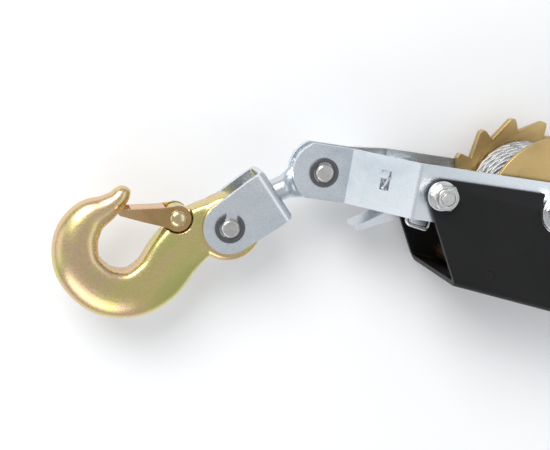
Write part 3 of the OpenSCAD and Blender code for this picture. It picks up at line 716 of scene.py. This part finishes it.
def place(mesh, at, turn, flip):
    """Moves a mesh from the hook's own frame to its place, flipped over for the load end."""
    if flip:
        mesh.transform(Matrix.Diagonal((1, -1, 1, 1)))
        mesh.flip_normals()
    mesh.transform(Matrix.Translation(at) @ Matrix.Rotation(turn, 4, "Z"))
    return mesh


def add_hook(end, at, bore_r, turn=0.0, flip=False):
    """A hook with its latch, rivet and spring: the eye's centre, the bore and how it lies."""
    where = (at, turn, flip)
    hook, latch = end + "_hook", end + "_latch"
    link(hook + "_forging", place(hook_mesh(bore_r), *where), YELLOW_ZINC, hook, "yellow_zinc", hook)
    sheet = link(latch + "_sheet", place(latch_mesh(), *where), COPPER_ZINC, latch, "copper_zinc", latch)
    soften(sheet, 0.22 * MM)
    link(end + "_rivet_heads", place(rivet_mesh(), *where), BRASSY_ZINC, hook, "copper_zinc",
         latch + "_rivet")
    link(latch + "_wire", place(latch_spring_mesh(), *where), SPRING_STEEL, latch, "bright_zinc",
         latch + "_spring")


def load_turn():
    """Angle of the load hook's own x axis, from where its rivet lies."""
    towards = LOAD_RIVET - LOAD_EYE
    return math.atan2(towards.y, towards.x) - math.atan2(-RIVET_AT[1], RIVET_AT[0])


# ---------- anchor end ----------

def stud_mesh():
    """Upset stud about the frame pin: flat eye, waisted neck and round shank, all one forging."""
    bm = bmesh.new()
    neck = [(-39.6, 6.5, 6.5), (-30, 6.5, 6.5), (-23, 6.5, 6.5), (-20.8, 6.9, 5.9), (-18, 8.2, 4.0),
            (-13.5, 9.8, 3.6), (-9.5, 10.4, 3.6)]
    around = 40
    rings = [[Vector((x, half_w * math.cos(TAU * j / around), half_t * math.sin(TAU * j / around))) * MM
              for j in range(around)] for x, half_w, half_t in spline(neck, 5)]
    rings_mesh(bm, rings)
    turned(bm, round_eye(14.0, 3.8, 0.9))
    mesh = forged(bm, voxel=0.45, passes=4, cuts=[((0, 0), PIN_BORE_R, -THROUGH, THROUGH)])
    mesh.transform(Matrix.Translation(flat(FRAME_PIN))
                   @ Matrix.Rotation(math.atan2(STUD_DIR.y, STUD_DIR.x), 4, "Z"))
    return mesh


def add_anchor_end():
    link("stud_forging", stud_mesh(), BRIGHT_ZINC, "eye_stud", "bright_zinc", "eye_stud")
    dress("stud_washer", BRIGHT_ZINC, 0.2)
    dress("stud_nut", STEEL, 0.2)
    dress("clevis", BRIGHT_ZINC, 0.7, 40)
    dress("clevis_pin", STEEL, 0.25)
    dress("clevis_pin_clips", BLACK_OXIDE, 0.25)
    dress("frame_pin", STEEL, 0.25)
    dress("frame_pin_clips", BLACK_OXIDE, 0.25)


# ---------- frame and fasteners ----------

def thread_mesh(axis_at, radius, low, high, pitch):
    """The turned thread that shows on a bolt's end, as one continuous ridge."""
    bm = bmesh.new()
    turns = (high - low) / pitch
    per_turn = 28
    ridge_r = pitch * 0.42
    count = int(turns * per_turn)
    line = [axis_at + polar(radius, TAU * turns * i / count, low + (high - low) * i / count)
            for i in range(count + 1)]
    tube(bm, line, ridge_r, 6, rounded_ends)
    return finished("thread", bm)


def ring_mesh(axis_at, radius, low, around=48):
    """The nylon ring that stands out of a lock nut."""
    bm = bmesh.new()
    section = [(radius + 0.02 * MM, 0), (radius + 1.0 * MM, 0), (radius + 1.1 * MM, 0.25 * MM),
               (radius + 0.7 * MM, 0.45 * MM), (radius + 0.02 * MM, 0.45 * MM)]
    rings = [[axis_at + polar(r, TAU * i / around, low + h) for r, h in section] for i in range(around)]
    rings_mesh(bm, rings, closed=True)
    return finished("ring", bm)


def add_bolt(name, radius, pitch):
    """Dresses one of the frame's bolt sets and adds its thread and its nut's nylon ring."""
    bolt, nut = name + "_bolt", name + "_nut"
    dress(bolt, STEEL, 0.3)
    dress(nut, STEEL, 0.3)
    dress(name + "_washers", BRIGHT_ZINC, 0.25)
    at = middle(bolt)
    at.z = 0
    nut_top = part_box(nut)[1].z
    thread_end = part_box(bolt)[1].z - 1.2 * MM
    link(name + "_thread", thread_mesh(at, radius - pitch * 0.25, nut_top - 0.2 * MM, thread_end, pitch),
         STEEL, "frame", "bright_zinc")
    link(name + "_nylon_ring", ring_mesh(at, radius, nut_top - 0.1 * MM), NYLON, "frame", "bright_zinc")


def add_frame():
    for plate in ("side_plate_near", "side_plate_far"):
        dress(plate, BRIGHT_ZINC, 0.4)
    for name, diameter, pitch in (("pivot", 8, 1.25), ("axle", 12, 1.75), ("tail", 8, 1.25)):
        add_bolt(name, diameter / 2 * MM, pitch * MM)
    for spacer in ("pivot_spacer", "tail_spacer"):
        dress(spacer, BRIGHT_ZINC, 0.3)
    dress("axle_sleeve", BRONZE, 0.3)


# ---------- pawls and their springs ----------

# Points in each turn of a spring, and the gap between its turns in millimetres
COIL_STEPS = 18
COIL_GAP = 0.15


def coil(centre, radius, wire_d, low, first_angle, count):
    """Points of a close-wound coil about an upright axis, from its lowest turn up."""
    return [(*on_circle(centre, radius, math.radians(first_angle + 360 // COIL_STEPS * i)),
             low + (wire_d + COIL_GAP) * i / COIL_STEPS) for i in range(count)]


def spring_mesh(line, wire_d, around):
    """A spring's wire: x and y as in the frame, and heights from the middle plane."""
    bm = bmesh.new()
    points = [Vector((x, y, z + MID_Z / MM)) * MM for x, y, z in spline(line, 3)]
    tube(bm, points, wire_d / 2 * MM, around, rounded_ends)
    return finished("spring", bm)


def pawl_spring_mesh():
    """Wire from the plate's window, three turns round the hub, then the loop round the lug."""
    wire_d, coil_r, turns = 1.8, 10.5, 3
    line = [(-99.9, -2, 22.7), (-98.7, -1.6, 20.7), (-97.1, -1, 17.9), (-93.6, 2, 13.9), (-84, 8.4, 11)]
    line += coil(PIVOT / MM, coil_r, wire_d, 10.6, 105, COIL_STEPS * turns + 4)
    line += [(-81.6, -6, 17.4), (-81.6, -11, 18.6), (-81.6, -16.8, 18.7), (-81.2, -18.6, 18.7),
             (-79.6, -20, 18.7), (-75, -20.9, 18.7), (-70.4, -21.6, 18.7), (-68.8, -21, 18.7),
             (-68.2, -19.4, 18.7), (-67.6, -12.5, 18.7)]
    return spring_mesh(line, wire_d, 12)


def drive_spring_mesh():
    """Two legs behind the drive pawl's pin and three turns about it."""
    wire_d, coil_r, turns = 1.4, 4.6, 3
    pin = DRIVE_PIN / MM
    line = [(pin.x + 16, pin.y - 7.6, -15), (pin.x + 8, pin.y - 5.8, -14.8)]
    line += coil(pin, coil_r, wire_d, -14.6, -90, COIL_STEPS * turns + 1)
    line += [(pin.x + 9, pin.y - 5, -9.8), (pin.x + 18, pin.y - 8, -9.8)]
    return spring_mesh(line, wire_d, 10)


def add_pawls():
    dress("holding_pawl", BRIGHT_ZINC, 0.4)
    dress("drive_pawl", BROWN_ZINC, 0.3)
    dress("drive_pawl_pin", BLACK_POWDER, 0.3)
    spring = link("holding_pawl_wire", pawl_spring_mesh(), SPRING_STEEL, "holding_pawl", "bright_zinc",
                  "holding_pawl_spring")
    # The hooked end stays in its window, so the wire rides on no single body
    spring.parent = None
    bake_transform(spring)
    link("drive_pawl_wire", drive_spring_mesh(), SPRING_STEEL, "drive_pawl", "bright_zinc",
         "drive_pawl_spring")


# ---------- drum and rope ----------

# A strand makes one turn in LAY rope diameters, and its radius and the wire core's are shares of
# the rope's. A layer on the drum lies NESTING of a diameter over the one below
STRANDS = 6
LAY = 6.6
STRAND_SHARE = 0.36
CORE_SHARE = 0.42
NESTING = 0.866
# The drum's barrel and half of the width between its flanges
BARREL_R = 16 * MM
WOUND_HALF = 24 * MM


def strand_rope(bm, line, radius, around=8):
    """Six strands laid right-handed round a core, along a centre line."""
    strand_r = radius * STRAND_SHARE
    circle_r = radius - strand_r
    lay = LAY * 2 * radius
    spots = sides(line)
    run = [0.0]
    for a, b in zip(line, line[1:]):
        run.append(run[-1] + (b - a).length)
    for k in range(STRANDS):
        path = []
        for p, (s, t), along in zip(line, spots, run):
            a = TAU * (k / STRANDS + along / lay)
            path.append(p + circle_r * (s * math.cos(a) + t * math.sin(a)))
        frames = sides(path)
        rings = [[q + strand_r * (s * math.cos(TAU * j / around) + t * math.sin(TAU * j / around))
                  for j in range(around)] for q, (s, t) in zip(path, frames)]
        rings_mesh(bm, rings, uv=lambda i, j: (run[min(i, len(run) - 1)] / lay, j / around))
    tube(bm, line, radius * CORE_SHARE, 6)


def helix(radius, start_z, stop_z, wraps, start_angle, per_turn=64):
    """Rope's centre line about the drum, with heights from the middle plane."""
    count = int(per_turn * wraps)
    rise = stop_z - start_z
    return [DRUM + polar(radius, start_angle + TAU * wraps * i / count, start_z + rise * i / count)
            for i in range(count + 1)]


def wound_rope_mesh(top_r, lead_z):
    """The top layer up to the wrap that leaves the drum, the layer under it, and their filling."""
    bm = bmesh.new()
    pitch = 2 * ROPE_R
    under_r = top_r - pitch * NESTING
    filling_r = top_r - 1.6 * pitch * NESTING
    low, high = ROPE_R - WOUND_HALF, WOUND_HALF - ROPE_R
    wraps = (lead_z - low) / pitch
    strand_rope(bm, helix(top_r, low, lead_z, wraps, math.pi / 2 - TAU * wraps), ROPE_R)
    under_from = lead_z + pitch * 0.5
    strand_rope(bm, helix(under_r, under_from, high, (high - under_from) / pitch, 0.4), ROPE_R)
    foot, top = MID_Z - WOUND_HALF + 0.2 * MM, MID_Z + WOUND_HALF - 0.2 * MM
    lathe(bm, [(BARREL_R, foot), (under_r, foot), (under_r, MID_Z + lead_z),
               (filling_r, MID_Z + lead_z + ROPE_R), (filling_r, top), (BARREL_R, top)])
    return finished("rope_wound", bm)


def rope_run_mesh(start, stop, spans=60):
    """The straight run from the drum to the load end."""
    bm = bmesh.new()
    strand_rope(bm, [start.lerp(stop, i / spans) for i in range(spans + 1)], ROPE_R)
    return finished("rope_run", bm)


def rope_loop_mesh(ferrule_start):
    """The loop round the thimble, out of the ferrule and back into it."""
    bm = bmesh.new()
    loop_r, loop_x = 15, 46
    leg = spline([(20, 3.2), (24, 4.0), (31, 8.6), (38, 12.8), (43, 14.7)], 6)
    arc = [on_circle((loop_x, 0), loop_r, math.radians(a)) for a in range(90, -91, -6)]
    line = leg + arc + [(x, -z) for x, z in leg[::-1]]
    strand_rope(bm, [ferrule_start + Vector((x, 0, z)) * MM for x, z in line], ROPE_R)
    return finished("rope_loop", bm)


def add_rope():
    top_r = COIL_R - ROPE_R
    start, stop = Vector((0, top_r, LEAD.z)), Vector((LEAD_END_X, top_r, LEAD.z))
    link("rope_wound", wound_rope_mesh(top_r, LEAD.z - MID_Z), ROPE, "drum", "wire_rope", "rope_coil")
    run = link("rope_run", rope_run_mesh(start, stop), ROPE, "load_end", "wire_rope", "rope_lead")
    # A blended piece rides on no single body
    run.parent = None
    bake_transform(run)
    link("rope_loop", rope_loop_mesh(stop), ROPE, "load_end", "wire_rope", "rope_eye")
    dress("rope_ferrule", FERRULE, 0.5)
    dress("rope_thimble", BRIGHT_ZINC, 0.2)


def add_drum():
    dress("drum_core", BROWN_ZINC, 0.4)
    dress("ratchet_wheel", BROWN_ZINC, 0.35)
    dress("drum_flange", BROWN_ZINC, 0.4)
    dress("rope_set_screw", STEEL, 0.2)


# ---------- lever ----------

# The power that squares off the grip's section comes from a superellipse of order 3.4
GRIP_RIBS = 26
GRIP_SQUARENESS = 2 / 3.4


def grip_girth(u):
    """How much of its box the grip fills, at share u of its length from the lever's side."""
    barrel = 0.82 + 0.05 * math.cos(TAU * u) ** 2
    flanges = math.exp(-((u - 0.02) / 0.022) ** 2) + 0.9 * math.exp(-((u - 0.975) / 0.03) ** 2)
    girth = min(1.0, barrel + 0.18 * flanges)
    if 0.1 < u < 0.9:
        girth += 0.018 * math.cos(TAU * GRIP_RIBS * u)
    into_tip = max(0.0, (u - 0.972) / 0.028)
    return girth * math.sqrt(max(0.0, 1 - 0.8 * into_tip * into_tip))


def grip_mesh(count=240, around=72):
    """Moulded sleeve: flange, ribbed barrel with a waist, and a rounded closed end."""
    low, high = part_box("lever_grip")
    mid = (low + high) / 2
    outline = []
    for j in range(around):
        a = TAU * j / around
        outline.append((squared(math.cos(a), GRIP_SQUARENESS) * (high.y - low.y) / 2,
                        squared(math.sin(a), GRIP_SQUARENESS) * (high.z - low.z) / 2))
    bm = bmesh.new()
    rings = []
    for i in range(count + 1):
        u = i / count
        x = low.x + (high.x - low.x) * u
        girth = grip_girth(u)
        rings.append([Vector((x, mid.y + y * girth, mid.z + z * girth)) for y, z in outline])
    rings_mesh(bm, rings)
    return finished("grip", bm)


def add_lever():
    dress("lever_channel", BLACK_POWDER, 0.7, 40)
    link("grip_sleeve", grip_mesh(), RUBBER, "lever", "grip_rubber", "lever_grip")


# ---------- the whole puller ----------

add_camera()
add_studio()
add_rope()
add_drum()
add_hook("anchor", flat(CLEVIS_PIN), PIN_BORE_R)
add_hook("load", LOAD_EYE, LOAD_EYE_BORE_R, load_turn(), flip=True)
add_anchor_end()
add_frame()
add_pawls()
add_lever()
